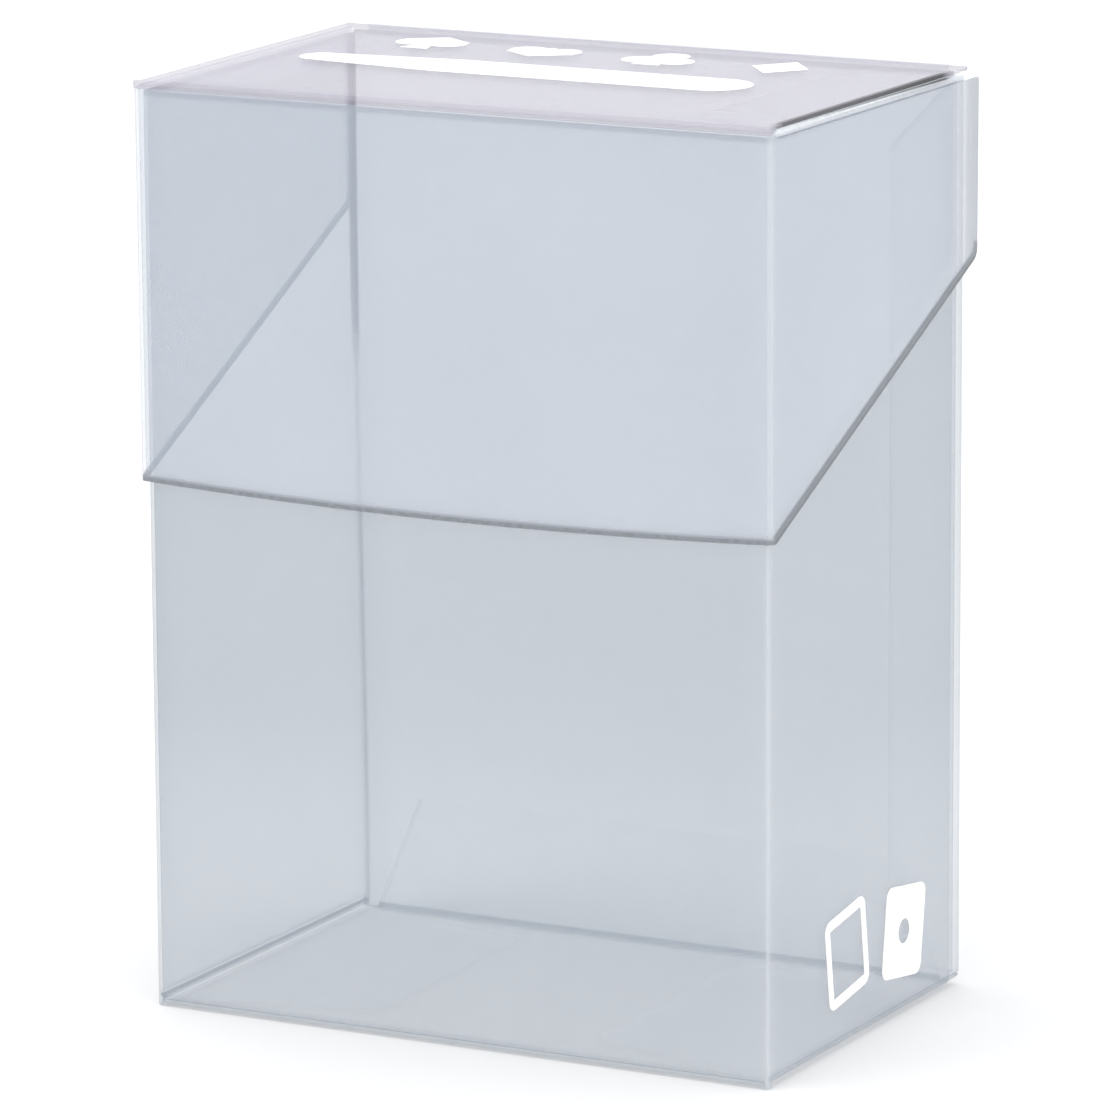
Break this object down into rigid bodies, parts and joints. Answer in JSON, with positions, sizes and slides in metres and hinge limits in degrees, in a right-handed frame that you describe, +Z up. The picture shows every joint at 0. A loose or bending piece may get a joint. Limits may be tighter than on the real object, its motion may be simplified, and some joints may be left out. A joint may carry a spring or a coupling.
{
  "type": "card deck box",
  "caption": "Clear folded-plastic deck box for trading cards: a tall open-topped body with a flip-top lid on a living hinge at the top back edge.",
  "frame": {"origin": "on the surface that the box stands on, under the middle of the closed box", "axes": "+Z up, +X to the right seen from the front, +Y from the front wall to the hinge side"},
  "size_m": [0.074, 0.0462, 0.0971],
  "materials": {
    "clear_sheet": "clear, slightly milky polypropylene sheet, smooth and glossy",
    "clear_fold": "scored and folded sheet, a little whiter along the crease",
    "white_ink": "opaque white screen print"
  },
  "bodies": {
    "body": {"body_back_panel": "clear_sheet", "body_front_panel": "clear_sheet", "body_left_panel": "clear_sheet", "body_right_panel": "clear_sheet", "bottom_left_flap": "clear_sheet", "bottom_panel": "clear_sheet", "bottom_right_flap": "clear_sheet", "bottom_tuck_flap": "clear_sheet", "fold_back_left": "clear_fold", "fold_back_right": "clear_fold", "fold_bottom_back": "clear_fold", "fold_bottom_front": "clear_fold", "fold_bottom_left": "clear_fold", "fold_bottom_right": "clear_fold", "fold_front_left": "clear_fold", "fold_front_right": "clear_fold", "hinge_bead": "clear_fold", "side_mark_print": "white_ink", "side_seam_flap": "clear_sheet"},
    "lid": {"fold_lid_front_left": "clear_fold", "fold_lid_front_right": "clear_fold", "fold_lid_front_top": "clear_fold", "fold_lid_left_top": "clear_fold", "fold_lid_right_top": "clear_fold", "hinge_web": "clear_fold", "lid_front_panel": "clear_sheet", "lid_left_dust_flap": "clear_sheet", "lid_left_flap": "clear_sheet", "lid_right_dust_flap": "clear_sheet", "lid_right_flap": "clear_sheet", "lid_stripe_print": "white_ink", "lid_symbols_print": "white_ink", "lid_top_panel": "clear_sheet"}
  },
  "joints": [
    {"name": "lid_hinge", "type": "hinge", "parent": "body", "child": "lid", "pos_m": [0, 0.02245, 0.0968], "axis": [-1, 0, 0], "range_deg": [0, 210]}
  ]
}
